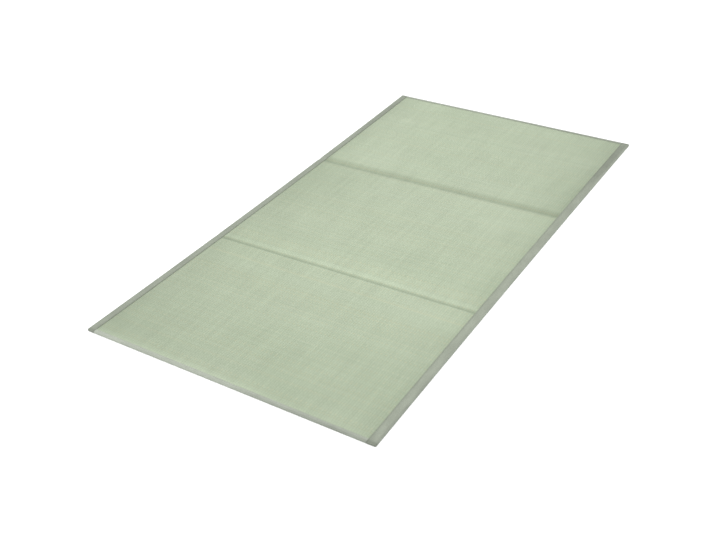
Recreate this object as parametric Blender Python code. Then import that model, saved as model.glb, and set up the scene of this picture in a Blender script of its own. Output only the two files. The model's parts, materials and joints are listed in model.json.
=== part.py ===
"""A three-fold rush mat lying open on its underside.

A padded, rush-faced mat in three panels has a hinge line across it near each third, a little out of square.
Cloth bindings wrap its long edges and close over its corners, and narrow tapes wrap its short ends between
them.
X runs across the width, Y along the length and Z up. The origin is the middle of the underside.
Every wrapped surface is the same outline, moved inwards by an offset: 0 is the outside of the cloth, CLOTH
its inside, and CLOTH + GAP the mat that it wraps.
"""

import math
from collections import namedtuple

import bmesh
import bpy

# Driving dimensions, in metres
LENGTH = 1.800
WIDTH = 0.950
SKEW = 0.024  # how far the hinge lines move along Y for each metre across the width
SQUARE_END = 0.030  # the length at each end which stays square
FIELD_HEIGHT = 0.0090  # the padded rush at the middle of a panel
CROWN = 0.0004  # how much of that height a panel loses towards its folds
SEWN_HEIGHT = 0.0078  # top of the cloth, where the sewing presses the edges down
CLOTH = 0.0010
GAP = 0.0003
EDGE_RADIUS = 0.0030  # outside of the cloth as it turns over an edge
LEAST_ROUND = 0.12  # share of that radius which is left at the very end of a binding
TAPE_REACH = 0.012  # from a short end to the sewn edge of its tape
ARC_STEPS = 2
LEAST_STEP = 0.00085  # stations along Y that are closer than this are made one

# A long edge draws in by its waist at mid length, and its binding reaches from there to the sewn edge.
Side = namedtuple("Side", "name, sign, waist, reach")
LEFT = Side(name="left", sign=-1, waist=0.0090, reach=0.0240)
RIGHT = Side(name="right", sign=1, waist=0.0030, reach=0.0265)

# The mat rises from a sewn edge to its full height above, and comes down to the floor below.
Shoulder = namedtuple("Shoulder", "inside, rise, fall")
SHOULDERS = (
    Shoulder(inside=0.000, rise=0.00, fall=0.0),
    Shoulder(inside=0.001, rise=0.08, fall=0.0),
    Shoulder(inside=0.004, rise=0.45, fall=0.6),
    Shoulder(inside=0.009, rise=0.80, fall=1.0),
    Shoulder(inside=0.018, rise=0.96, fall=1.0),
    Shoulder(inside=0.030, rise=1.00, fall=1.0),
)

# A groove is a narrow crease in the middle of a wider trough, whose two sides may differ. The near fold
# hinges at the face, so its panels butt above and it is open below. The far one hinges at the underside.
Fold = namedtuple(
    "Fold", "y, crease, crease_half, trough, near_half, far_half, under, under_half, binding_dip"
)
FOLDS = (
    Fold(y=-0.3145, crease=0.0012, crease_half=0.005, trough=0.0018, near_half=0.006, far_half=0.028,
         under=0.0036, under_half=0.010, binding_dip=0.0008),
    Fold(y=0.2885, crease=0.0010, crease_half=0.005, trough=0.0046, near_half=0.026, far_half=0.026,
         under=0.0008, under_half=0.004, binding_dip=0.0016),
)
FOLD_STEPS = (0.0, 0.3, 0.6, 1.0)  # shares of a groove's half width that get a section
DIP_HALF = 0.018  # half length of the dip in a binding at a fold
PANEL_EDGES = (-LENGTH / 2, FOLDS[0].y, FOLDS[1].y, LENGTH / 2)
PANEL_STEPS = (0.2, 0.5, 0.8)  # shares of a panel's length that get a section

RUSH_COLOUR = (0.36, 0.41, 0.31, 1.0)
BINDING_COLOUR = (0.27, 0.30, 0.24, 1.0)

Row = namedtuple("Row", "y, roundness")


def valley(distance, half):
    """1 at distance 0, falling as a cosine wave to 0 at half and beyond."""
    return 0.5 + 0.5 * math.cos(math.pi * min(abs(distance) / half, 1.0))


def shoulder_share(inside, column):
    """A column of SHOULDERS at a distance inside a sewn edge, along straight lines between its rows."""
    for low, high in zip(SHOULDERS, SHOULDERS[1:]):
        if inside < high.inside:
            along = max(inside - low.inside, 0.0) / (high.inside - low.inside)
            return (1 - along) * getattr(low, column) + along * getattr(high, column)
    return 1.0


def half_width(y, side):
    """Distance of a long edge from the middle: it draws in as a parabola, by the side's waist at mid length."""
    return WIDTH / 2 - side.waist * (1 - (2 * y / LENGTH) ** 2)


def binding_top(y):
    return SEWN_HEIGHT - sum(fold.binding_dip * valley(y - fold.y, DIP_HALF) for fold in FOLDS)


def crown(y):
    """0 at both edges of a panel and 1 in its middle, as half a sine wave."""
    for low, high in zip(PANEL_EDGES, PANEL_EDGES[1:]):
        if y <= high:
            return math.sin(math.pi * (y - low) / (high - low))
    return 0.0


def field_top(y):
    """Height of the rush at the middle of the width: crowned panels with a groove at each fold."""
    height = FIELD_HEIGHT - CROWN * (1 - crown(y))
    for fold in FOLDS:
        away = y - fold.y
        height -= fold.crease * valley(away, fold.crease_half)
        height -= fold.trough * valley(away, fold.far_half if away > 0 else fold.near_half)
    return height


def field_under(y):
    """Height of the underside at the middle of the width: on the floor, with a groove at each fold."""
    return sum(fold.under * valley(y - fold.y, fold.under_half) for fold in FOLDS)


def place(x, y, z):
    """A point in its final place: cross lines turn by SKEW, less and less past the folds, to square ends."""
    outside = max(abs(y) - FOLDS[1].y, 0.0) / (LENGTH / 2 - SQUARE_END - FOLDS[1].y)
    return (x, y + SKEW * x * max(1.0 - outside, 0.0), z)


def turns():
    return [math.pi / 2 * step / ARC_STEPS for step in range(ARC_STEPS + 1)]


def stations():
    """The places along Y, short of the rounded ends, where the outline gets a section."""
    end = LENGTH / 2
    places = {end - EDGE_RADIUS, end - SQUARE_END}
    places |= {end - TAPE_REACH - row.inside for row in SHOULDERS}
    places |= {-y for y in places}
    for fold in FOLDS:
        both = {half * step for half in (fold.crease_half, fold.under_half) for step in FOLD_STEPS}
        places |= {fold.y + side * away for away in both | {DIP_HALF} for side in (-1, 1)}
        places |= {fold.y - fold.near_half * step for step in FOLD_STEPS}
        places |= {fold.y + fold.far_half * step for step in FOLD_STEPS}
    for low, high in zip(PANEL_EDGES, PANEL_EDGES[1:]):
        places |= {low + (high - low) * step for step in PANEL_STEPS}
    ordered = sorted({round(y, 6) for y in places})
    return [y for y, after in zip(ordered, ordered[1:] + [end]) if after - y > LEAST_STEP]


def rows(offset):
    """Sections along Y. The ends turn over with the edge radius less the offset."""
    radius = EDGE_RADIUS - offset
    end = [
        Row(LENGTH / 2 - EDGE_RADIUS + radius * math.sin(turn), max(math.cos(turn), LEAST_ROUND))
        for turn in turns()[1:]
    ]
    middle = [Row(y, 1.0) for y in stations()]
    return [Row(-row.y, row.roundness) for row in reversed(end)] + middle + end


def edge_outline(top, radius, reach):
    """(inset, above, below) from the sewn edge outwards to the side, as a quarter circle above and below."""
    flat = (reach, top - EDGE_RADIUS + radius, EDGE_RADIUS - radius)
    arc = [
        (
            EDGE_RADIUS - radius * math.sin(turn),
            top - EDGE_RADIUS + radius * math.cos(turn),
            EDGE_RADIUS - radius * math.cos(turn),
        )
        for turn in turns()
    ]
    return [flat] + arc


def mesh_object(name, points, faces, colour, roughness):
    mesh = bpy.data.meshes.new(name)
    mesh.from_pydata(points, [], faces)
    shape = bmesh.new()
    shape.from_mesh(mesh)
    bmesh.ops.recalc_face_normals(shape, faces=shape.faces)
    shape.to_mesh(mesh)
    shape.free()
    mesh.shade_smooth()
    mesh.set_sharp_from_angle(angle=math.radians(40))
    material = bpy.data.materials.new(name)
    material.use_nodes = True
    surface = material.node_tree.nodes["Principled BSDF"]
    surface.inputs["Base Color"].default_value = colour
    surface.inputs["Roughness"].default_value = roughness
    surface.inputs["Metallic"].default_value = 0.0
    mesh.materials.append(material)
    piece = bpy.data.objects.new(name, mesh)
    bpy.context.scene.collection.objects.link(piece)
    return piece


def strip_faces(first, second, closed=False):
    """Quads between two equally long runs of point numbers."""
    pairs = list(zip(first, second))
    after = pairs[1:] + pairs[:1] if closed else pairs[1:]
    return [(a, b, d, c) for (a, b), (c, d) in zip(pairs, after)]


def grid_faces(count, width, start=0, closed=False):
    """Quads over count rows of width points each, which are numbered from start."""
    numbers = [[start + row * width + column for column in range(width)] for row in range(count)]
    faces = []
    for this, following in zip(numbers, numbers[1:]):
        faces += strip_faces(this, following, closed)
    return faces


def cap_faces(ring):
    """Quads across one end, between the upper half of its points and the lower half in reverse."""
    half = len(ring) // 2
    return strip_faces(ring[:half], ring[: half - 1 : -1])


def mat_half(row, offset, side):
    """(x, above, below) of the mat's section at a row, from one edge in to the middle of the width."""
    edge = half_width(row.y, side)
    outline = edge_outline(binding_top(row.y), (EDGE_RADIUS - offset) * row.roundness, side.reach)
    from_end = LENGTH / 2 - TAPE_REACH - abs(row.y)
    sewn_above, sewn_below = outline[0][1:]
    rise = shoulder_share(from_end, "rise") * (field_top(row.y) - binding_top(row.y) + offset)
    below = sewn_below + shoulder_share(from_end, "fall") * (field_under(row.y) - sewn_below)
    half = [(edge - inset, above, under) for inset, above, under in reversed(outline)]
    for shoulder in SHOULDERS[1:]:
        under = sewn_below + shoulder.fall * (below - sewn_below)
        half.append((edge - side.reach - shoulder.inside, sewn_above + shoulder.rise * rise, under))
    half += [(share * edge, sewn_above + rise, below) for share in (0.45, 0.0)]
    return [(side.sign * x, above, under) for x, above, under in half]


def mat_ring(row, offset):
    """The mat's whole section at a row: above from left to right, then below from right to left."""
    across = mat_half(row, offset, LEFT) + mat_half(row, offset, RIGHT)[-2::-1]
    upper = [place(x, row.y, above) for x, above, _ in across]
    lower = [place(x, row.y, under) for x, _, under in reversed(across)]
    return upper + lower


def make_mat():
    offset = CLOTH + GAP
    rings = [mat_ring(row, offset) for row in rows(offset)]
    width = len(rings[0])
    points = [point for ring in rings for point in ring]
    faces = grid_faces(len(rings), width, closed=True)
    faces += cap_faces(list(range(width)))
    faces += cap_faces(list(range(len(points) - width, len(points))))
    mesh_object("rush_mat", points, faces, RUSH_COLOUR, 0.62)


def binding_line(row, offset, side):
    """A binding's section at a row, from its sewn edge above, round the side, to its sewn edge below."""
    outline = edge_outline(binding_top(row.y), (EDGE_RADIUS - offset) * row.roundness, side.reach)
    edge = half_width(row.y, side)
    above = [place(side.sign * (edge - inset), row.y, height) for inset, height, _ in outline]
    below = [place(side.sign * (edge - inset), row.y, height) for inset, _, height in reversed(outline)]
    return above + below


def make_long_binding(side):
    """Two offset surfaces, each closed at both ends, joined by a rim along the sewn edges."""
    layers = [[binding_line(row, offset, side) for row in rows(offset)] for offset in (0.0, CLOTH)]
    count, width = len(layers[0]), len(layers[0][0])
    points = [point for layer in layers for line in layer for point in line]
    faces = []
    rims = []
    for start in (0, count * width):
        last = start + (count - 1) * width
        faces += grid_faces(count, width, start)
        faces += cap_faces(list(range(start, start + width)))
        faces += cap_faces(list(range(last, last + width)))
        above = [start + row * width for row in range(count)]
        rims.append(above + [number + width - 1 for number in reversed(above)])
    faces += strip_faces(*rims, closed=True)
    mesh_object("long_binding_" + side.name, points, faces, BINDING_COLOUR, 0.8)


def make_end_tape(name, end):
    """One U-shaped section carried across the width, between the long bindings."""
    outside = edge_outline(SEWN_HEIGHT, EDGE_RADIUS, TAPE_REACH)
    inside = edge_outline(SEWN_HEIGHT, EDGE_RADIUS - CLOTH, TAPE_REACH)
    section = [(inset, above) for inset, above, _ in outside]
    section += [(inset, below) for inset, _, below in reversed(outside)]
    section += [(inset, below) for inset, _, below in inside]
    section += [(inset, above) for inset, above, _ in reversed(inside)]
    places = [
        side.sign * (half_width(LENGTH / 2 - TAPE_REACH, side) - side.reach - GAP) for side in (LEFT, RIGHT)
    ]
    points = [(x, end * (LENGTH / 2 - inset), height) for x in places for inset, height in section]
    width = len(section)
    outer = list(range(width // 2))
    inner = list(range(width - 1, width // 2 - 1, -1))
    faces = grid_faces(2, width, closed=True) + strip_faces(outer, inner)
    faces += strip_faces([number + width for number in outer], [number + width for number in inner])
    mesh_object(name, points, faces, BINDING_COLOUR, 0.8)


for item in list(bpy.data.objects):
    bpy.data.objects.remove(item)
make_mat()
make_long_binding(LEFT)
make_long_binding(RIGHT)
make_end_tape("end_binding_near", -1)
make_end_tape("end_binding_far", 1)
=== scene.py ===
"""A three-fold rush mat lying open on a pale floor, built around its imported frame.

The mat has a rush face woven in ribs, a hinge line across it near each third, cloth bindings sewn along its
long edges and narrow tapes sewn on its short ends. X runs across the width, Y along the length and Z up, in
metres, and the origin is the middle of the underside.
"""

import json
import math
from collections import namedtuple

import bmesh
import bpy
import numpy as np
from mathutils import Matrix, Vector

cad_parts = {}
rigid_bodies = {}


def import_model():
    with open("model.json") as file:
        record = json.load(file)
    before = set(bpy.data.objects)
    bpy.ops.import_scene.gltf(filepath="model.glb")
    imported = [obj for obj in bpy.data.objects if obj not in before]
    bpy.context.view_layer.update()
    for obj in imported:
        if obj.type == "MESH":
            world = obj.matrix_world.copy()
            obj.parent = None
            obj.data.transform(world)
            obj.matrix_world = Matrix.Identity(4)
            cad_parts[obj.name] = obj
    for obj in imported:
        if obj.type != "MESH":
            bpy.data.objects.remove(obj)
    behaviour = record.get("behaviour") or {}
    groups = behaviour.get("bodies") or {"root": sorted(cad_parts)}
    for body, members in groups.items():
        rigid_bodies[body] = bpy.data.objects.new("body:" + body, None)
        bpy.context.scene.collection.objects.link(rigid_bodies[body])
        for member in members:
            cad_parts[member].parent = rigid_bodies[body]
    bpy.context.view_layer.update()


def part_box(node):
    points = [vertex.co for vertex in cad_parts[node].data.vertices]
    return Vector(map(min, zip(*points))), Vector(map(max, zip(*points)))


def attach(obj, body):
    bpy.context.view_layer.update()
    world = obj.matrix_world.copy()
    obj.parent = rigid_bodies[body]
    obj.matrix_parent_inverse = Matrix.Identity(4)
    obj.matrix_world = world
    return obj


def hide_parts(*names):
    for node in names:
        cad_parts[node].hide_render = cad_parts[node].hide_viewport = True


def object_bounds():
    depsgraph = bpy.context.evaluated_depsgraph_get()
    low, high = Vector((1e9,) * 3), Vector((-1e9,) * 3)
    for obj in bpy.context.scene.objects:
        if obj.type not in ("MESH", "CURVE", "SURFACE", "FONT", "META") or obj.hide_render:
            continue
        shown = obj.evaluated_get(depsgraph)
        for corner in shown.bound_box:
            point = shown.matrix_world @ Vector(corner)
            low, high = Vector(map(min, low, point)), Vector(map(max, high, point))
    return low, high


bl_info = {
    "name": "Rush Mat",
    "version": (1, 0, 0),
    "blender": (4, 5, 0),
    "location": "3D View > Sidebar > Rush Mat",
    "description": "Weaves, binds and stitches a three-fold rush mat around its frame",
    "category": "Add Mesh",
}

for item in list(bpy.data.objects):
    bpy.data.objects.remove(item)
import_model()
LOW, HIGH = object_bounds()
TAPE_LOW, TAPE_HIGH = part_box("end_binding_near")

# Sizes that the frame shows
LENGTH = HIGH.y - LOW.y
WIDTH = HIGH.x - LOW.x
FIELD_HEIGHT = HIGH.z
SEWN_HEIGHT = TAPE_HIGH.z
TAPE_REACH = TAPE_HIGH.y - TAPE_LOW.y

# Sizes inside the frame's pieces
SKEW = 0.024  # how far the hinge lines move along Y for each metre across the width
SQUARE_END = 0.030  # the length at each end which stays square
CROWN = 0.0004  # how much of its height a panel loses towards its folds
CLOTH = 0.0010  # thickness of the cloth
GAP = 0.0003  # room left between pieces that touch
EDGE_RADIUS = 0.0030  # of the cloth's turn over the mat's sides
LEAST_ROUND = 0.12  # share of that radius which is left at the very ends
DIP_HALF = 0.018  # half length of the dip in a binding at a fold
SHOULDER = 0.006  # distance over which the rush rises from a sewn edge
SEEDS = {"left": 9, "right": 11, "near": 19, "far": 21}  # one draw of unevenness for each sewn edge

# A long edge draws in by its waist at mid length, and its binding reaches from there to the sewn edge.
Side = namedtuple("Side", "name, sign, waist, reach")
LEFT = Side(name="left", sign=-1, waist=0.0090, reach=WIDTH / 2 + TAPE_LOW.x - GAP)
RIGHT = Side(name="right", sign=1, waist=0.0030, reach=WIDTH / 2 - TAPE_HIGH.x - GAP)

FIELD_HALF = (WIDTH - LEFT.reach - RIGHT.reach) / 2  # half the width of the rush that shows at the ends

Fold = namedtuple(
    "Fold", "y, crease, crease_half, trough, near_half, far_half, under, under_half, binding_dip"
)
FOLDS = (
    Fold(y=-0.3145, crease=0.0012, crease_half=0.005, trough=0.0018, near_half=0.006, far_half=0.028,
         under=0.0036, under_half=0.010, binding_dip=0.0008),
    Fold(y=0.2885, crease=0.0010, crease_half=0.005, trough=0.0046, near_half=0.026, far_half=0.026,
         under=0.0008, under_half=0.004, binding_dip=0.0016),
)
PANEL_EDGES = (-LENGTH / 2, FOLDS[0].y, FOLDS[1].y, LENGTH / 2)

# Rows and columns of the rush, as distances from a tape or a binding where they are close together
LEAST_ROW_STEP = 0.0007
COLUMNS_PER_RIB = 6
ROWS_AT_TAPE = (0, 0.001, 0.0025, 0.0045, 0.007, 0.011, 0.017, 0.027)
COLUMNS_UNDER = (0, 0.001, 0.0025, 0.004, 0.0065, 0.009, 0.03)
UNDER_START = 0.0008  # the underside starts down to the floor this far from the cloth
UNDER_LEVEL = 0.98  # share of the rise at which it gets there

# The rise of a rib between two warp lines
RIB_POWER = 0.7
RIB_MEAN = 0.75

# The sewn seam of the cloth
SEAM_COLUMNS = (0.06, 0.2, 0.42, 0.65, 0.85, 1.0, 1.15, 1.35, 1.7)  # distances, with the stitches at 1
PLAIN_COLUMN = 2.2  # the first column outside the seam, on the same scale
PAD_START = 1.5  # where the padded part starts, on the same scale
GROOVE = 0.00022  # depth between two needle holes, and twice as much at a hole
GROOVE_HALF = 0.0016
PAD = 0.00028
PUCKER = 0.00009
HOLE_PULL = 0.00006  # how far a needle hole draws the padded part down
STRAY_END = 0.006  # distance outside the sewn edge at which its straying ends

# Stitches
THREAD_RADIUS = 0.00032
THREAD_ARCH = 0.00012
THREAD_FLATNESS = 0.8
STITCH_SHARE = 0.8  # of the distance from one stitch to the next
STITCH_PROUD = 0.00005  # how far a stitch's middle line stands over the groove
STITCH_LOW = 0.00036  # height of the stitches below the mat over the floor

# Painted light and shade over each panel: its level at the middle, its change to the right and to the far
# side, and how much painted shade darkens a band beside the left and the right binding
PanelLight = namedtuple("PanelLight", "middle, right, far, left_band, left_width, right_band, right_width")
PANEL_LIGHT = (
    PanelLight(0.990, right=0.00, far=0.065,
           left_band=0.15, left_width=0.130, right_band=0.070, right_width=0.060),
    PanelLight(1.030, right=0.00, far=-0.010,
           left_band=0.16, left_width=0.150, right_band=0.090, right_width=0.070),
    PanelLight(1.012, right=-0.03, far=-0.012,
           left_band=0.15, left_width=0.045, right_band=0.165, right_width=0.075),
)
SEAM_WIDTH = 0.012  # the painted light and shade on the rush right beside a binding or a tape reach over about this distance
# painted light on the rush beside the left binding, and painted shade beside the right one
SEAM_CHANGE_LEFT = 0.035
SEAM_CHANGE_RIGHT = -0.04

# How the tone of the rush changes about a fold, as painted light and shade: painted dark in the crease, where
# shade falls, and painted pale on the slopes beside it, where light falls
FoldLight = namedtuple("FoldLight", "y, change, half")
FOLD_LIGHT = (
    FoldLight(y=FOLDS[0].y + 0.0008, change=-0.172, half=0.012),
    FoldLight(y=FOLDS[0].y + 0.0180, change=0.075, half=0.016),
    FoldLight(y=FOLDS[0].y + 0.0500, change=0.042, half=0.060),
    FoldLight(y=FOLDS[1].y - 0.0450, change=0.020, half=0.050),
    FoldLight(y=FOLDS[1].y + 0.0060, change=-0.200, half=0.027),
)

# Depth of the bindings' colour along them, painted lighter and darker by how light falls on each side, and
# how much painted shade lies over the outer rim, which is a painted highlight where it is below 0
BindingTone = namedtuple("BindingTone", "y, left, right, rim")
BINDING_TONES = (
    BindingTone(y=-0.90, left=0.99, right=0.90, rim=0.15),
    BindingTone(y=-0.87, left=0.92, right=0.98, rim=0.15),
    BindingTone(y=-0.40, left=0.95, right=1.02, rim=0.06),
    BindingTone(y=0.15, left=0.98, right=1.03, rim=0.04),
    BindingTone(y=0.45, left=0.92, right=0.92, rim=0.00),
    BindingTone(y=0.70, left=0.85, right=0.74, rim=-0.22),
    BindingTone(y=0.87, left=0.85, right=0.75, rim=-0.17),
    BindingTone(y=0.90, left=0.85, right=0.86, rim=-0.15),
)
BINDING_RIM = 0.008  # distance from the side over which the rim's painted shade reaches
TAPE_RIM = 0.009
# painted shade in the groove of a binding's seam, and its half width
SEAM_SHADE = 0.12
SEAM_SHADE_HALF = 0.0045
END_SHADE = 0.27  # painted shade at the folded ends of the long bindings
END_SHADE_LENGTH = 0.016

# The same for the tapes by share of the width from the left, and how much paler the rush beside them is
# painted: painted light and shade along each tape, painted shade over its rim, and painted light on the rush
# beside it, which turns to painted shade below 0
TapeTone = namedtuple("TapeTone", "share, near, near_rim, near_rush, far, far_rim, far_rush")
TAPE_TONES = (
    TapeTone(share=0.00, near=1.18, near_rim=0.17, near_rush=0.15, far=1.03, far_rim=0.08, far_rush=0.02),
    TapeTone(share=0.50, near=1.19, near_rim=0.17, near_rush=0.13, far=0.97, far_rim=0.10, far_rush=0.00),
    TapeTone(share=0.85, near=1.02, near_rim=0.28, near_rush=0.02, far=0.84, far_rim=0.10, far_rush=-0.06),
    TapeTone(share=1.00, near=1.00, near_rim=0.29, near_rush=0.02, far=0.82, far_rim=0.10, far_rush=-0.07),
)

# Stage
SKY_LEVEL = 0.35  # share of the way up at which the sky's brightness settles
LAMP_DISTANCE = 4.0
Camera = namedtuple("Camera", "location, turn, down, roll, lens")  # metres, degrees and millimetres
CAMERA = Camera((1.4206, -2.3965, 1.6980), turn=33.082, down=33.758, roll=-2.425, lens=50.59)


class MatShape(bpy.types.PropertyGroup):
    """Sizes of the unevenness that handling leaves in a mat of this frame."""

    lift: bpy.props.FloatProperty(
        name="Unevenness", description="Height of the slow waves in the face",
        default=0.00025, unit="LENGTH",
    )


class RushWeave(bpy.types.PropertyGroup):
    """The rush face: stalks across the width, bound by pairs of warp threads along it."""

    rib: bpy.props.FloatProperty(
        name="Rib", description="Distance between two pairs of warp threads",
        default=0.0075, unit="LENGTH",
    )
    rib_depth: bpy.props.FloatProperty(
        name="Rib depth", description="How far the warp threads draw the stalks down",
        default=0.0004, unit="LENGTH",
    )
    stalk: bpy.props.FloatProperty(
        name="Stalk", description="Width of one flattened stalk",
        default=0.0014, unit="LENGTH",
    )
    fresh: bpy.props.FloatVectorProperty(
        name="Fresh", description="Colour of the greener stalks",
        default=(0.333, 0.398, 0.279), subtype="COLOR", size=3,
    )
    faded: bpy.props.FloatVectorProperty(
        name="Faded", description="Colour of the paler stalks",
        default=(0.386, 0.442, 0.329), subtype="COLOR", size=3,
    )
    straw: bpy.props.FloatVectorProperty(
        name="Straw", description="Colour of the few dry stalks",
        default=(0.411, 0.419, 0.277), subtype="COLOR", size=3,
    )


class BindingCloth(bpy.types.PropertyGroup):
    """The ribbed cloth of the bindings and tapes, and the thread that holds it."""

    rib: bpy.props.FloatProperty(
        name="Cloth rib", description="Distance between the ribs of the cloth",
        default=0.0009, unit="LENGTH",
    )
    binding: bpy.props.FloatVectorProperty(
        name="Binding", description="Colour of the long bindings",
        default=(0.296, 0.325, 0.265), subtype="COLOR", size=3,
    )
    tape: bpy.props.FloatVectorProperty(
        name="Tape", description="Colour of the end tapes",
        default=(0.348, 0.377, 0.319), subtype="COLOR", size=3,
    )
    thread: bpy.props.FloatVectorProperty(
        name="Thread", description="Colour of the sewing thread",
        default=(0.316, 0.348, 0.284), subtype="COLOR", size=3,
    )
    stitch: bpy.props.FloatProperty(
        name="Stitch", description="Distance from one stitch to the next",
        default=0.0075, unit="LENGTH",
    )
    seam: bpy.props.FloatProperty(
        name="Seam", description="Distance of the stitches from the folded edge of the cloth",
        default=0.0026, unit="LENGTH",
    )
    drift: bpy.props.FloatProperty(
        name="Seam drift", description="How far a sewn edge strays from its line",
        default=0.0003, unit="LENGTH",
    )


class Studio(bpy.types.PropertyGroup):
    """The floor, the light and the camera."""

    floor: bpy.props.FloatVectorProperty(
        name="Floor", description="Colour of the floor",
        default=(0.95, 0.95, 0.95), subtype="COLOR", size=3,
    )
    sky: bpy.props.FloatProperty(name="Sky", description="Brightness of the light overhead", default=0.90)
    horizon: bpy.props.FloatProperty(name="Horizon", description="Brightness low down", default=1.15)
    lamp: bpy.props.FloatProperty(name="Lamp", description="Strength of the soft lamp", default=1.85)
    lamp_height: bpy.props.FloatProperty(
        name="Lamp height", description="Angle of the lamp above the floor",
        default=math.radians(62), subtype="ANGLE",
    )
    lamp_turn: bpy.props.FloatProperty(
        name="Lamp turn", description="Direction of the lamp, counted from the near side to the right",
        default=math.radians(25), subtype="ANGLE",
    )
    lamp_spread: bpy.props.FloatProperty(
        name="Lamp spread", description="Apparent size of the lamp",
        default=math.radians(50), subtype="ANGLE",
    )


# Shapes along the length and across the width


def valley(away, half):
    """1 at distance 0, falling as a cosine wave to 0 at half and beyond."""
    return 0.5 + 0.5 * np.cos(np.pi * np.minimum(np.abs(away) / half, 1.0))


def half_width(y, side):
    """Distance of a long edge from the middle: a parabola that draws in by the side's waist at mid length."""
    return WIDTH / 2 - side.waist * (1 - (2 * y / LENGTH) ** 2)


def field_half(x, y):
    """Width of the rush that shows from the middle to the binding on the side of x: half_width less reach."""
    return np.where(x < 0, half_width(y, LEFT) - LEFT.reach, half_width(y, RIGHT) - RIGHT.reach)


def sewn_top(y):
    """Top of the cloth: level, with a cosine dip at each fold."""
    return SEWN_HEIGHT - sum(fold.binding_dip * valley(y - fold.y, DIP_HALF) for fold in FOLDS)


def panel_share(y):
    """How far along its panel a place is, from 0 to 1, and the panel's number."""
    number = np.clip(np.searchsorted(PANEL_EDGES, y, side="right") - 1, 0, len(FOLDS))
    low = np.take(PANEL_EDGES, number)
    high = np.take(PANEL_EDGES, number + 1)
    return (y - low) / (high - low), number


def field_top(y):
    """Height of the rush: half a sine wave over each panel, less a crease in a trough at each fold."""
    height = FIELD_HEIGHT - CROWN * (1 - np.sin(np.pi * panel_share(y)[0]))
    for fold in FOLDS:
        away = y - fold.y
        height = height - fold.crease * valley(away, fold.crease_half)
        height = height - fold.trough * valley(away, np.where(away > 0, fold.far_half, fold.near_half))
    return height


def field_under(y):
    """Height of the underside: on the floor, with a cosine groove at each fold."""
    return sum(fold.under * valley(y - fold.y, fold.under_half) for fold in FOLDS)


def rise(inside):
    """Share of its full height that the rush has at a distance inside a sewn edge, as 1 - exp(-d^1.2)."""
    return 1 - np.exp(-((np.maximum(inside, 0.0) / SHOULDER) ** 1.2))


def place(x, y, z):
    """Points in their final place: cross lines turn by SKEW, and come square again towards both ends."""
    outside = np.maximum(np.abs(y) - FOLDS[1].y, 0.0) / (LENGTH / 2 - SQUARE_END - FOLDS[1].y)
    x, y, z, outside = np.broadcast_arrays(x, y, z, outside)
    return np.stack([x, y + SKEW * x * np.maximum(1 - outside, 0.0), z], axis=-1)


def waves(u, v, shortest, longest, seed):
    """A smooth unevenness of about -1 to 1: seven cosine waves of random direction, length and phase."""
    draw = np.random.default_rng(seed)
    total = 0.0
    for turn, phase, share in draw.random((7, 3)):
        length = shortest * (longest / shortest) ** share
        along = u * math.cos(math.tau * turn) + v * math.sin(math.tau * turn)
        total = total + np.cos(math.tau * (along / length + phase))
    return total / math.sqrt(7)


def rounded_rows(middle, radius, steps):
    """Places along Y with both ends turned over as quarter circles, and how much of the radius is left."""
    turn = np.linspace(0, np.pi / 2, steps + 1)[1:]
    end = LENGTH / 2 - EDGE_RADIUS + radius * np.sin(turn)
    left = np.maximum(np.cos(turn), LEAST_ROUND)
    y = np.concatenate([-end[::-1], middle, end])
    roundness = np.concatenate([left[::-1], np.ones(len(middle)), left])
    return y[:, None], roundness[:, None]


# Meshes


def grid(count, width, start=0, closed=False):
    """Quads over count rows of width points each, which are numbered from start."""
    numbers = start + np.arange(count * width).reshape(count, width)
    if closed:
        numbers = np.concatenate([numbers, numbers[:, :1]], axis=1)
    corners = [numbers[:-1, :-1], numbers[:-1, 1:], numbers[1:, 1:], numbers[1:, :-1]]
    return np.stack(corners, axis=-1).reshape(-1, 4)


def strip(first, second, closed=False):
    """Quads between two equally long lines of point numbers."""
    pairs = np.stack([first, second], axis=1)
    if closed:
        pairs = np.concatenate([pairs, pairs[:1]])
    return np.stack([pairs[:-1, 0], pairs[1:, 0], pairs[1:, 1], pairs[:-1, 1]], axis=1)


def zipper(many, few):
    """Triangles between two lines of point numbers that differ in count, each step to the nearest point."""
    step = np.arange(len(many) - 1)
    meets = np.rint((step + 0.5) / (len(many) - 1) * (len(few) - 1)).astype(int)
    across = np.arange(len(few) - 1)
    apex = np.searchsorted(meets, across, side="right")
    return np.concatenate([
        np.stack([many[step], many[step + 1], few[meets]], axis=1),
        np.stack([few[across + 1], few[across], many[apex]], axis=1),
    ])


def make_piece(name, points, faces, flat_map, tone=None):
    """A closed, smooth-shaded piece on the mat, with a flat map in metres and an optional tone."""
    mesh = bpy.data.meshes.new(name)
    mesh.from_pydata(points.reshape(-1, 3).tolist(), [], [face for part in faces for face in part.tolist()])
    shape = bmesh.new()
    shape.from_mesh(mesh)
    bmesh.ops.recalc_face_normals(shape, faces=shape.faces)
    shape.to_mesh(mesh)
    shape.free()
    corners = np.empty(len(mesh.loops), np.int32)
    mesh.loops.foreach_get("vertex_index", corners)
    layer = mesh.uv_layers.new(name="flat")
    layer.data.foreach_set("uv", flat_map.reshape(-1, 2)[corners].astype(np.float32).ravel())
    if tone is not None:
        values = mesh.attributes.new("tone", "FLOAT", "POINT")
        values.data.foreach_set("value", tone.astype(np.float32).ravel())
    mesh.shade_smooth()
    piece = bpy.data.objects.new(name, mesh)
    bpy.context.scene.collection.objects.link(piece)
    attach(piece, "root")
    return piece


# The rush mat


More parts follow.
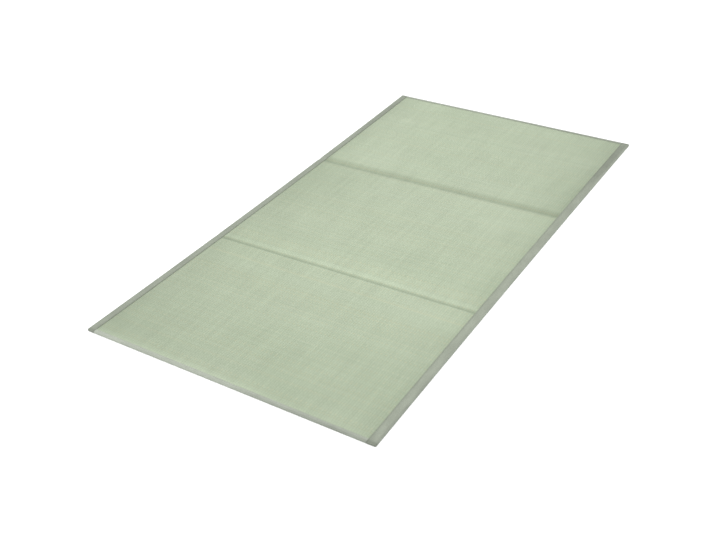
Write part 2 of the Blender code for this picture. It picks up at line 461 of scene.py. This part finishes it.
def rush_rows():
    """Places along Y of the rush's sections: close together at folds and ends, and even between them."""
    end = LENGTH / 2
    at_tape = end - TAPE_REACH - np.array(ROWS_AT_TAPE)
    groups = [at_tape, -at_tape, [end - EDGE_RADIUS, EDGE_RADIUS - end]]
    for fold in FOLDS:
        groups.append(fold.y + fold.crease_half * np.linspace(-1, 1, 9))
        groups.append(fold.y - fold.near_half * np.linspace(0, 1, 7))
        groups.append(fold.y + fold.far_half * np.linspace(0, 1, 9))
        groups.append(fold.y + DIP_HALF * np.linspace(-1, 1, 7))
    for fold_light in FOLD_LIGHT:
        groups.append(fold_light.y + fold_light.half * np.linspace(-1, 1, 11))
    groups.append(np.linspace(-end + 0.06, end - 0.06, 38))
    y = np.unique(np.round(np.concatenate(groups), 5))
    return y[np.diff(y, append=end) > LEAST_ROW_STEP]


def tone_at(where, rows, column):
    """A column of a tone table at a place, along straight lines between its rows."""
    return np.interp(where, [row[0] for row in rows], [getattr(row, column) for row in rows])


def rush_tone(x, y, inside, from_end):
    """Painted light and shade on the rush: a tilted plane of light over each panel, painted shade in bands
    beside the cloth, and painted dark creases with pale lit slopes at the folds.

    The bands fall off as exp(-d / width), and a fold's dark and pale lines are cosine waves.
    """
    along, number = panel_share(y)
    middle, right, far, left_band, left_width, right_band, right_width = (
        np.take([getattr(panel_light, part) for panel_light in PANEL_LIGHT], number) for part in PanelLight._fields
    )
    inside = np.maximum(inside, 0.0)
    # painted shade in a band beside each binding, and painted light and shade over each panel as a tilted
    # plane
    band = np.where(x < 0, left_band, right_band) * np.exp(-inside / np.where(x < 0, left_width, right_width))
    tone = middle + right * 2 * x / WIDTH + far * (2 * along - 1) - band
    # painted light beside the left seam and painted shade beside the right seam
    tone = tone * (1 + np.where(x < 0, SEAM_CHANGE_LEFT, SEAM_CHANGE_RIGHT) * np.exp(-inside / SEAM_WIDTH))
    share = x / WIDTH + 0.5
    # painted light on the rush beside each tape, and painted shade where the table is below 0
    paler = np.where(y < 0, tone_at(share, TAPE_TONES, "near_rush"), tone_at(share, TAPE_TONES, "far_rush"))
    tone = tone * (1 + paler * np.exp(-np.maximum(from_end, 0.0) / SEAM_WIDTH))
    # painted shade in each fold's crease and painted highlights on the slopes beside it
    for fold_light in FOLD_LIGHT:
        tone = tone * (1 + fold_light.change * valley(y - fold_light.y, fold_light.half))
    return tone


def rush_surface(shape, weave):
    """Closed rings round the section, one for each row along Y: ribbed columns above, plain ones below.

    A rib is |sin| to the power RIB_POWER between two warp lines, and flattens towards the seams. The top is
    its height at the seam plus the shoulder's share of the panel's rise, the rib and two sets of slow waves.
    """
    lining = CLOTH + GAP
    y, roundness = rounded_rows(rush_rows(), EDGE_RADIUS - lining, 2)
    radius = (EDGE_RADIUS - lining) * roundness
    turn = np.linspace(0, np.pi / 2, 3)
    inset = EDGE_RADIUS - radius * np.sin(turn)
    left_x = inset - half_width(y, LEFT)
    right_x = half_width(y, RIGHT) - inset
    side_above = sewn_top(y) - EDGE_RADIUS + radius * np.cos(turn)
    side_below = EDGE_RADIUS - radius * np.cos(turn)
    from_end = LENGTH / 2 - TAPE_REACH - np.abs(y)

    ribs = round(2 * FIELD_HALF / weave.rib)
    share = np.linspace(-1, 1, COLUMNS_PER_RIB * ribs + 1)
    field = field_half(share, y)
    inside = field * (1 - np.abs(share))
    risen = rise(inside) * rise(from_end)
    sewn = side_above[:, :1]
    rib = np.abs(np.sin(np.pi * ribs * (share + 1) / 2)) ** RIB_POWER - RIB_MEAN
    slow = waves(share * field, y, 0.12, 0.50, 3) + 0.4 * waves(share * field, y, 0.05, 0.11, 4)
    top = sewn + risen * (field_top(y) - sewn_top(y) + lining + weave.rib_depth * rib + shape.lift * slow)

    low_share = 1 - np.array(COLUMNS_UNDER) / FIELD_HALF
    low_share = np.concatenate([low_share, np.linspace(0.9, -0.9, 19), -low_share[::-1]])
    low_field = field_half(low_share, y)
    fall = rise(low_field * (1 - np.abs(low_share)) - UNDER_START) * rise(from_end)
    fall = np.minimum(fall, UNDER_LEVEL) / UNDER_LEVEL
    sunk = side_below[:, :1]
    bottom = sunk + fall * (field_under(y) - sunk)

    x = (left_x[:, ::-1], share * field, right_x, right_x[:, ::-1], low_share * low_field, left_x)
    z = (side_above[:, ::-1], top, side_above, side_below[:, ::-1], bottom, side_below)
    x = np.hstack(x)
    z = np.hstack(z)
    above = 2 * len(turn) + len(share)
    points = place(x, y, z)
    whole_field = field_half(x, y)
    flat_map = np.stack([x * FIELD_HALF / whole_field, np.broadcast_to(y, x.shape)], axis=-1)
    tone = rush_tone(x, y, whole_field - np.abs(x), from_end)
    return points, above, flat_map, tone


def make_rush_mat(shape, weave):
    """The face, sides and underside of the mat as one closed tube of rings, zipped shut at both ends."""
    points, above, flat_map, tone = rush_surface(shape, weave)
    count, width = points.shape[:2]
    last = (count - 1) * width
    faces = [grid(count, width, closed=True)]
    for start in (0, last):
        ring = start + np.arange(width)
        faces.append(zipper(ring[:above], ring[above:][::-1]))
    piece = make_piece("woven_rush", points, faces, flat_map, tone)
    piece.data.materials.append(rush_finish(weave))
    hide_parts("rush_mat")
    return piece


# Bindings, tapes and stitches


def flap_profile(reach, seam):
    """Distances from a sewn edge to the start of the turn over the side, close together at the seam."""
    bare = reach - EDGE_RADIUS
    columns = 5 if bare > 4 * seam else 2
    wide = np.linspace(PLAIN_COLUMN * seam, bare, columns)
    return np.concatenate([[0.0], seam * np.array(SEAM_COLUMNS), wide])


def flap_lift(inside, along, reach, cloth, seed):
    """Height of a flap over its plain level at a distance from its sewn edge.

    The edge is a quarter circle, the seam is a cosine groove that is deepest at the needle holes, and the
    cloth outside it is padded up as half a sine wave with slow puckers.
    """
    nose = CLOTH / 2 * (1 - np.sqrt(1 - (1 - np.minimum(inside / (CLOTH / 2), 1.0)) ** 2))
    hole = 0.5 + 0.5 * np.cos(math.tau * along / cloth.stitch)
    groove = (GROOVE + GROOVE * hole) * valley(inside - cloth.seam, GROOVE_HALF)
    start = PAD_START * cloth.seam
    out = np.clip((inside - start) / (reach - EDGE_RADIUS - start), 0.0, 1.0)
    pucker = PUCKER * waves(along, inside, 0.012, 0.060, seed) - HOLE_PULL * hole
    return -nose - groove + np.sin(np.pi * out) * (PAD + pucker)


def seam_stray(along, inside, cloth, seed):
    """How far the sewn edge strays from its line: slow waves, which fade in a straight line outside it."""
    return cloth.drift * waves(along, 0.0, 0.05, 0.40, seed) * np.clip(1 - inside / STRAY_END, 0.0, 1.0)


def cloth_layers(top, radius, reach, along, cloth, seed):
    """(inset, height) of the outer and inner layers of wrapped cloth, from one sewn edge to the other.

    Each layer is a flap, a quarter circle over the side, the side, and the same again below in reverse.
    """
    inside = flap_profile(reach, cloth.seam)
    lift = flap_lift(inside, along, reach, cloth, seed)
    turn = np.linspace(0, np.pi / 2, 8)[1:]
    shrink = EDGE_RADIUS - radius
    flat = np.broadcast_to(reach - inside + seam_stray(along, inside, cloth, seed), lift.shape)
    outer_inset = np.hstack([flat, EDGE_RADIUS - radius * np.sin(turn)])
    outer_above = np.hstack([top + lift - shrink, top - EDGE_RADIUS + radius * np.cos(turn)])
    outer_below = np.hstack([shrink - np.minimum(lift, 0.0), EDGE_RADIUS - radius * np.cos(turn)])

    small = radius * (EDGE_RADIUS - CLOTH) / EDGE_RADIUS
    turn = np.linspace(0, np.pi / 2, 4)
    lip = np.broadcast_to(reach - np.array([0.08, 0.3]) * CLOTH, (len(along), 2))
    lip_drop = np.array([0.30, 0.04]) * CLOTH
    inner_inset = np.hstack([lip, EDGE_RADIUS - small * np.sin(turn)])
    level = top - EDGE_RADIUS + small
    inner_above = np.hstack([level + lip_drop, top - EDGE_RADIUS + small * np.cos(turn)])
    inner_below = np.hstack([EDGE_RADIUS - small - lip_drop, EDGE_RADIUS - small * np.cos(turn)])

    outer = np.hstack([outer_inset, outer_inset[:, ::-1]]), np.hstack([outer_above, outer_below[:, ::-1]])
    inner = np.hstack([inner_inset, inner_inset[:, ::-1]]), np.hstack([inner_above, inner_below[:, ::-1]])
    return outer, inner


def arc_map(points, along):
    """Flat map of a layer: distance round the section, from the mean section, and distance along."""
    middle = points[len(points) // 2]
    steps = np.linalg.norm(np.diff(middle, axis=0), axis=1)
    across = np.concatenate([[0.0], np.cumsum(steps)])
    return np.stack(np.broadcast_arrays(across[None, :], along), axis=-1)


def binding_tone(inset, y, side, cloth):
    """Depth of a binding's colour: the table's, less cosine waves of painted shade over the rim, the seam and
    both ends.
    """
    seam = SEAM_SHADE * valley(inset - side.reach + cloth.seam / 2, SEAM_SHADE_HALF)
    rim = tone_at(y, BINDING_TONES, "rim") * valley(inset, BINDING_RIM)
    end = END_SHADE * valley(LENGTH / 2 - np.abs(y), END_SHADE_LENGTH)
    return tone_at(y, BINDING_TONES, side.name) * (1 - seam) * (1 - rim) * (1 - end)


def make_long_binding(side, cloth, finish):
    """Two layers of cloth, each closed at both ends, joined by a rim along the sewn edges."""
    quarter = cloth.stitch / 4
    middle = np.arange(-LENGTH / 2 + EDGE_RADIUS, LENGTH / 2 - EDGE_RADIUS + quarter / 2, quarter)
    y, roundness = rounded_rows(middle, EDGE_RADIUS, 5)
    inner_y = np.clip(y, -LENGTH / 2 + CLOTH, LENGTH / 2 - CLOTH)
    layers = cloth_layers(sewn_top(y), EDGE_RADIUS * roundness, side.reach, y, cloth, SEEDS[side.name])
    faces = []
    rims = []
    points = []
    maps = []
    tones = []
    start = 0
    for (inset, height), layer_y in zip(layers, (y, inner_y)):
        layer = place(side.sign * (half_width(layer_y, side) - inset), layer_y, height)
        count, width = layer.shape[:2]
        numbers = start + np.arange(count * width).reshape(count, width)
        half = width // 2
        faces.append(grid(count, width, start))
        faces += [strip(line[:half], line[: half - 1 : -1]) for line in (numbers[0], numbers[-1])]
        rims.append(np.concatenate([numbers[:, 0], numbers[::-1, -1]]))
        points.append(layer.reshape(-1, 3))
        maps.append(arc_map(layer, y).reshape(-1, 2))
        tones.append(binding_tone(inset, y, side, cloth).ravel())
        start += count * width
    faces.append(strip(*rims, closed=True))
    piece = make_piece(
        "binding_" + side.name, np.concatenate(points), faces, np.concatenate(maps), np.concatenate(tones)
    )
    piece.data.materials.append(finish)
    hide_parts("long_binding_" + side.name)
    return piece


def tape_tone(inset, x, name):
    """Depth of a tape's colour: the table's painted light and shade, less a cosine wave of painted shade over
    the rim.
    """
    share = x / WIDTH + 0.5
    rim = tone_at(share, TAPE_TONES, name + "_rim") * valley(inset, TAPE_RIM)
    return tone_at(share, TAPE_TONES, name) * (1 - rim)


def make_tape(name, end, cloth, finish):
    """One ring of section carried across the width, with the wall closed at both ends."""
    count = 2 * round((TAPE_HIGH.x - TAPE_LOW.x) / cloth.stitch) + 1
    x = np.linspace(TAPE_LOW.x, TAPE_HIGH.x, count)[:, None]
    radius = np.full_like(x, EDGE_RADIUS)
    top = np.full_like(x, SEWN_HEIGHT)
    layers = cloth_layers(top, radius, TAPE_REACH, x, cloth, SEEDS[name])
    inset = np.hstack([layers[0][0], layers[1][0][:, ::-1]])
    height = np.hstack([layers[0][1], layers[1][1][:, ::-1]])
    points = np.stack(np.broadcast_arrays(x, end * (LENGTH / 2 - inset), height), axis=-1)
    width = points.shape[1]
    outer = layers[0][0].shape[1]
    numbers = np.arange(count * width).reshape(count, width)
    faces = [grid(count, width, closed=True)]
    faces += [zipper(line[:outer], line[outer:][::-1]) for line in (numbers[0], numbers[-1])]
    piece = make_piece("tape_" + name, points, faces, arc_map(points, x), tape_tone(inset, x, name))
    piece.data.materials.append(finish)
    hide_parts("end_binding_" + name)
    return piece


def stitch_row(centres, direction, length):
    """Stitches as six-sided grains, one block of rings for each centre.

    The radius is the root of 1 - 0.94 t^4 at t along a grain, and the middle line is arched as 1 - t^2.
    """
    along = np.linspace(-1, 1, 7)[None, :, None]
    turn = np.linspace(0, math.tau, 7)[None, None, :-1]
    radius = THREAD_RADIUS * np.sqrt(np.maximum(1 - 0.94 * along ** 4, 0.0))
    sideways = np.cross(direction, (0.0, 0.0, 1.0))
    arch = THREAD_ARCH * (1 - along ** 2)
    offset = (
        (along * length / 2)[..., None] * np.asarray(direction)
        + (radius * np.cos(turn))[..., None] * sideways
        + (arch + THREAD_FLATNESS * radius * np.sin(turn))[..., None] * np.array((0.0, 0.0, 1.0))
    )
    return centres[:, None, None, :] + offset


def make_stitches(name, blocks, finish):
    """Closed grains joined into one piece: quads round each, and a six-sided face on each end."""
    count, rings, sides = blocks.shape[:3]
    size = rings * sides
    one = grid(rings, sides, closed=True)
    ends = np.stack([np.arange(sides)[::-1], size - sides + np.arange(sides)])
    starts = np.arange(count)[:, None, None] * size
    faces = [(starts + one).reshape(-1, 4), (starts + ends).reshape(-1, sides)]
    one_map = np.stack(np.meshgrid(np.arange(sides) / sides, np.arange(rings) / rings), axis=-1)
    flat_map = np.broadcast_to(one_map, (count, rings, sides, 2))
    piece = make_piece(name, blocks, faces, flat_map)
    piece.data.materials.append(finish)
    return piece


def stitch_centres(length, pitch):
    """Middles of whole stitches, each half way between two needle holes."""
    holes = math.floor(length / 2 / pitch)
    return (np.arange(-holes, holes) + 0.5) * pitch


def stitch_heights(along, level, reach, cloth, seed):
    """Heights of the stitches above and below: on the groove of the flap, and just off the floor."""
    lift = flap_lift(np.array([[cloth.seam]]), along, reach, cloth, seed)
    return level + lift + STITCH_PROUD, np.full_like(along, STITCH_LOW)


def long_stitches(side, cloth, finish):
    """Stitches along a binding's seam, above and below, which follow its waist, its straying and its dips."""
    y = stitch_centres(LENGTH - 2 * TAPE_REACH, cloth.stitch)[:, None]
    stray = seam_stray(y, cloth.seam, cloth, SEEDS[side.name])
    x = side.sign * (half_width(y, side) - side.reach + cloth.seam - stray)
    heights = stitch_heights(y, sewn_top(y), side.reach, cloth, SEEDS[side.name])
    centres = np.concatenate([place(x, y, height)[:, 0] for height in heights])
    blocks = stitch_row(centres, (0.0, 1.0, 0.0), STITCH_SHARE * cloth.stitch)
    return make_stitches("binding_stitches_" + side.name, blocks, finish)


def tape_stitches(name, end, cloth, finish):
    """Stitches along a tape's seam, above and below, which follow its straying."""
    middle = (TAPE_LOW.x + TAPE_HIGH.x) / 2
    x = middle + stitch_centres(TAPE_HIGH.x - TAPE_LOW.x - cloth.stitch, cloth.stitch)[:, None]
    stray = seam_stray(x, cloth.seam, cloth, SEEDS[name])
    y = end * (LENGTH / 2 - TAPE_REACH + cloth.seam - stray)
    heights = stitch_heights(x, SEWN_HEIGHT, TAPE_REACH, cloth, SEEDS[name])
    centres = np.concatenate([np.stack([x, y, height], axis=-1)[:, 0] for height in heights])
    blocks = stitch_row(centres, (1.0, 0.0, 0.0), STITCH_SHARE * cloth.stitch)
    return make_stitches("tape_stitches_" + name, blocks, finish)


# Finishes


class Channel:
    """A socket's number, which varies over a surface. Arithmetic on it adds Math nodes to its tree."""

    def __init__(self, nodes, socket):
        self.nodes = nodes
        self.socket = socket

    def math(self, operation, *others):
        inputs = dict(enumerate((self, *others)))
        return self.nodes.add("ShaderNodeMath", {"operation": operation}, inputs)

    def __add__(self, other):
        return self.math("ADD", other)

    def __sub__(self, other):
        return self.math("SUBTRACT", other)

    def __rsub__(self, other):
        return self * -1.0 + other

    def __mul__(self, other):
        return self.math("MULTIPLY", other)

    def __truediv__(self, other):
        return self.math("DIVIDE", other)

    def __pow__(self, other):
        return self.math("POWER", other)

    __radd__ = __add__
    __rmul__ = __mul__

    def floor(self):
        return self.math("FLOOR")

    def fraction(self):
        return self.math("FRACT")

    def sine(self):
        return self.math("SINE")

    def size(self):
        return self.math("ABSOLUTE")

    def clipped(self):
        return self.math("MAXIMUM", 0.0).math("MINIMUM", 1.0)


class Nodes:
    """A node tree that is being filled."""

    def __init__(self, tree):
        self.tree = tree

    def feed(self, socket, value):
        if isinstance(value, Channel):
            self.tree.links.new(value.socket, socket)
        else:
            socket.default_value = value

    def add(self, kind, settings, inputs, output=0):
        """A node of any kind: its settings come first, then the values or links of its sockets."""
        node = self.tree.nodes.new(kind)
        for name, value in settings.items():
            setattr(node, name, value)
        for name, value in inputs.items():
            self.feed(node.inputs[name], value)
        return Channel(self, node.outputs[output])


class Finish(Nodes):
    """A material being made, with its Principled shader."""

    def __init__(self, name):
        self.material = bpy.data.materials.new(name)
        self.material.use_nodes = True
        super().__init__(self.material.node_tree)
        self.shader = self.tree.nodes["Principled BSDF"]

    def flat_map(self):
        """Distances across and along the piece, in metres."""
        both = self.add("ShaderNodeUVMap", {"uv_map": "flat"}, {})
        return tuple(self.add("ShaderNodeSeparateXYZ", {}, {0: both}, axis) for axis in (0, 1))

    def attribute(self, name):
        return self.add("ShaderNodeAttribute", {"attribute_name": name}, {}, "Fac")

    def joined(self, *parts):
        return self.add("ShaderNodeCombineXYZ", {}, dict(enumerate(parts)))

    def noise(self, u, v, detail=2.0):
        """Smooth noise of 0 to 1, with one wave for each unit of u and v."""
        inputs = {"Vector": self.joined(u, v), "Scale": 1.0, "Detail": detail}
        return self.add("ShaderNodeTexNoise", {"noise_dimensions": "2D"}, inputs)

    def dice(self, number):
        """A value of 0 to 1 that is drawn afresh for each whole number."""
        return self.add("ShaderNodeTexWhiteNoise", {"noise_dimensions": "1D"}, {"W": number})

    def blended(self, share, first, second):
        first, second = (c if isinstance(c, Channel) else (*c, 1.0) for c in (first, second))
        return self.add("ShaderNodeMix", {"data_type": "RGBA"}, {0: share, 6: first, 7: second}, 2)

    def shaded(self, colour, amount):
        return self.add("ShaderNodeVectorMath", {"operation": "SCALE"}, {0: colour, "Scale": amount})

    def bump(self, height, distance):
        """A Bump node, where a height of 1 stands distance metres proud."""
        return self.add("ShaderNodeBump", {}, {"Height": height, "Distance": distance, "Strength": 1.0})

    def finished(self, colour, roughness, normal, specular):
        self.feed(self.shader.inputs["Base Color"], colour)
        self.feed(self.shader.inputs["Roughness"], roughness)
        self.feed(self.shader.inputs["Normal"], normal)
        self.shader.inputs["Specular IOR Level"].default_value = specular
        return self.material


def rush_finish(weave):
    """Stalks of their own tone, half a stalk apart in neighbouring ribs, over slow patches and streaks, with
    painted shade between the stalks and in the rib valleys.
    """
    finish = Finish("rush")
    across, along = finish.flat_map()
    ribs = round(2 * FIELD_HALF / weave.rib)
    rib = (across + FIELD_HALF) * (ribs / (2 * FIELD_HALF))
    parity = (rib.floor() * 0.5).fraction() * 2.0
    stalk = along / weave.stalk + parity * 0.5
    number = stalk.floor() * 2.0 + parity
    middle = stalk.fraction() - 0.5
    stalk_round = 1.0 - middle * middle * 4.0
    rib_round = (rib.fraction() * math.pi).sine()

    own = finish.dice(number)
    streak = finish.noise(rib * 0.5, along * 5.0)
    patch = finish.noise(across * 9.0, along * 9.0)
    broad = finish.noise(across * 2.5 + 7.0, along * 2.5)
    drawn_out = finish.noise(across * 14.0, number * 0.37, 1.0)
    # the tone attribute brings the painted light and shade of rush_tone; where it is darker it also moves the
    # colour towards the greener stalks
    tone = finish.attribute("tone")
    share = (0.45 * own + 0.9 * drawn_out + 0.8 * (broad - 0.5) + 1.5 * (tone - 1.0) - 0.16).clipped()
    colour = finish.blended(share, tuple(weave.fresh), tuple(weave.faded))
    dry = ((own * 17.0).fraction() - 0.93).math("GREATER_THAN", 0.0) * 0.7
    colour = finish.blended(dry, colour, tuple(weave.straw))
    tone = tone * (1.0 + 0.14 * (streak - 0.5) + 0.10 * (patch - 0.5) + 0.07 * (own - 0.5))
    # painted shade between the stalks and in the valleys of the ribs
    tone = tone * (0.835 + 0.180 * stalk_round ** 0.5) * (0.875 + 0.140 * rib_round ** 0.5)
    height = stalk_round ** 0.5 * (0.35 + 0.65 * rib_round ** 0.5)
    normal = finish.bump(height, 0.00027)
    roughness = 0.52 + 0.14 * own
    return finish.finished(finish.shaded(colour, tone), roughness, normal, 0.35)


def cloth_finish(name, colour, cloth):
    """Ribbed cloth: ribs across the band, threads along it, slubs in both and a slow unevenness of dye, with
    painted shade between the ribs and threads.
    """
    finish = Finish(name)
    across, along = finish.flat_map()
    rib = (along * (math.pi / cloth.rib)).sine().size()
    thread = (across * (math.pi / (0.6 * cloth.rib))).sine().size()
    slub = finish.noise(across * 90.0, along * 1100.0)
    warp = finish.noise(across * 1500.0, along * 45.0)
    dye = finish.noise(across * 30.0, along * 14.0)
    uneven = 1.0 + 0.35 * (slub - 0.5) + 0.25 * (warp - 0.5) + 0.16 * (dye - 0.5)
    # the tone attribute brings the painted light and shade of binding_tone and tape_tone
    tone = finish.attribute("tone") * uneven
    # painted shade between the ribs and between the threads
    tone = tone * (0.80 + 0.20 * rib ** 0.6) * (0.94 + 0.06 * thread)
    normal = finish.bump(rib ** 0.6 + 0.35 * thread + 0.5 * slub, 0.00016)
    pale = tuple(1.08 * part for part in colour)
    deep = tuple(0.93 * part for part in colour)
    shade = finish.blended(dye, deep, pale)
    return finish.finished(finish.shaded(shade, tone), 0.86 - 0.08 * rib, normal, 0.2)


def thread_finish(colour):
    """Twisted thread: slanting plies, painted darker in the grooves between them."""
    finish = Finish("sewing_thread")
    around, along = finish.flat_map()
    ply = ((around * 2.0 + along * 5.0) * math.pi).sine().size()
    # painted shade in the grooves between the plies, in the tone and in the colour
    tone = 0.82 + 0.18 * ply ** 0.5
    shade = finish.blended(ply, tuple(0.9 * part for part in colour), tuple(colour))
    return finish.finished(finish.shaded(shade, tone), 0.6 + 0.1 * ply, finish.bump(ply, 0.00006), 0.3)


# Stage


def make_floor(studio):
    """A wide disc just under the mat."""
    bpy.ops.mesh.primitive_circle_add(
        vertices=64, radius=30.0, fill_type="NGON", location=(0, 0, -GAP)
    )
    floor = bpy.context.object
    floor.name = "floor"
    finish = Finish("pale_floor")
    finish.shader.inputs["Base Color"].default_value = (*studio.floor, 1.0)
    finish.shader.inputs["Roughness"].default_value = 0.9
    finish.shader.inputs["Specular IOR Level"].default_value = 0.2
    floor.data.materials.append(finish.material)


def make_light(studio):
    """A sky that brightens towards the horizon, and one wide soft lamp over the near right side."""
    world = bpy.data.worlds.new("studio")
    bpy.context.scene.world = world
    world.use_nodes = True
    sky = Nodes(world.node_tree)
    direction = sky.add("ShaderNodeTexCoord", {}, {}, "Generated")
    height = sky.add("ShaderNodeSeparateXYZ", {}, {0: direction}, "Z")
    levels = {"From Min": 0.0, "From Max": SKY_LEVEL, "To Min": studio.horizon, "To Max": studio.sky}
    strength = sky.add("ShaderNodeMapRange", {}, {"Value": height, **levels})
    background = sky.tree.nodes["Background"]
    background.inputs["Color"].default_value = (1.0, 1.0, 1.0, 1.0)
    sky.feed(background.inputs["Strength"], strength)
    lamp = bpy.data.lights.new("soft_lamp", "SUN")
    lamp.energy = studio.lamp
    lamp.angle = studio.lamp_spread
    lamp_object = bpy.data.objects.new("soft_lamp", lamp)
    bpy.context.scene.collection.objects.link(lamp_object)
    level = math.cos(studio.lamp_height)
    towards = Vector((
        math.sin(studio.lamp_turn) * level,
        -math.cos(studio.lamp_turn) * level,
        math.sin(studio.lamp_height),
    ))
    lamp_object.rotation_euler = towards.to_track_quat("Z", "Y").to_euler()
    lamp_object.location = towards * LAMP_DISTANCE


def make_camera():
    """Hand-held above the near right corner: turned, tilted down and slightly rolled."""
    data = bpy.data.cameras.new("camera")
    data.lens = CAMERA.lens
    data.sensor_width = 36.0
    camera = bpy.data.objects.new("camera", data)
    bpy.context.scene.collection.objects.link(camera)
    turn = Matrix.Rotation(math.radians(CAMERA.turn), 4, "Z")
    tilt = Matrix.Rotation(math.radians(90 - CAMERA.down), 4, "X")
    roll = Matrix.Rotation(math.radians(CAMERA.roll), 4, "Z")
    camera.matrix_world = Matrix.Translation(CAMERA.location) @ turn @ tilt @ roll
    bpy.context.scene.camera = camera


# Operators and panel


class RUSHMAT_OT_rush(bpy.types.Operator):
    """Weave the rush mat with its folds."""

    bl_idname = "rushmat.rush"
    bl_label = "Rush mat"

    def execute(self, context):
        make_rush_mat(context.scene.mat_shape, context.scene.rush_weave)
        return {"FINISHED"}


class RUSHMAT_OT_bindings(bpy.types.Operator):
    """Sew the cloth bindings along both long edges."""

    bl_idname = "rushmat.bindings"
    bl_label = "Long bindings"

    def execute(self, context):
        cloth = context.scene.binding_cloth
        finish = cloth_finish("binding_cloth", tuple(cloth.binding), cloth)
        thread = thread_finish(tuple(cloth.thread))
        for side in (LEFT, RIGHT):
            stitches = long_stitches(side, cloth, thread)
            make_long_binding(side, cloth, finish)
        return {"FINISHED"}


class RUSHMAT_OT_tapes(bpy.types.Operator):
    """Sew the narrow tapes on both short ends."""

    bl_idname = "rushmat.tapes"
    bl_label = "End tapes"

    def execute(self, context):
        cloth = context.scene.binding_cloth
        finish = cloth_finish("tape_cloth", tuple(cloth.tape), cloth)
        thread = thread_finish(tuple(cloth.thread))
        for end, name in ((-1, "near"), (1, "far")):
            stitches = tape_stitches(name, end, cloth, thread)
            make_tape(name, end, cloth, finish)
        return {"FINISHED"}


class RUSHMAT_OT_stage(bpy.types.Operator):
    """Set up the floor, the light and the camera."""

    bl_idname = "rushmat.stage"
    bl_label = "Stage"

    def execute(self, context):
        studio = context.scene.studio
        make_floor(studio)
        make_light(studio)
        make_camera()
        context.scene.view_settings.view_transform = "Standard"
        return {"FINISHED"}


class RUSHMAT_PT_panel(bpy.types.Panel):
    """Sizes, colours and buttons of the mat."""

    bl_idname = "RUSHMAT_PT_panel"
    bl_label = "Rush Mat"
    bl_space_type = "VIEW_3D"
    bl_region_type = "UI"
    bl_category = "Rush Mat"

    def draw(self, context):
        for group in GROUPS:
            values = getattr(context.scene, group)
            box = self.layout.box()
            for name in values.__annotations__:
                box.prop(values, name)
        for operator in OPERATORS:
            self.layout.operator(operator.bl_idname)


GROUPS = {"mat_shape": MatShape, "rush_weave": RushWeave, "binding_cloth": BindingCloth, "studio": Studio}
OPERATORS = (RUSHMAT_OT_rush, RUSHMAT_OT_bindings, RUSHMAT_OT_tapes, RUSHMAT_OT_stage)


def register():
    for item in (*GROUPS.values(), *OPERATORS, RUSHMAT_PT_panel):
        bpy.utils.register_class(item)
    for name, group in GROUPS.items():
        setattr(bpy.types.Scene, name, bpy.props.PointerProperty(type=group))


def unregister():
    for name in GROUPS:
        delattr(bpy.types.Scene, name)
    for item in (RUSHMAT_PT_panel, *OPERATORS, *GROUPS.values()):
        bpy.utils.unregister_class(item)


def main():
    """Registers the classes and runs every operator in order."""
    register()
    bpy.ops.rushmat.stage()
    bpy.ops.rushmat.rush()
    bpy.ops.rushmat.bindings()
    bpy.ops.rushmat.tapes()


if __name__ == "__main__":
    main()
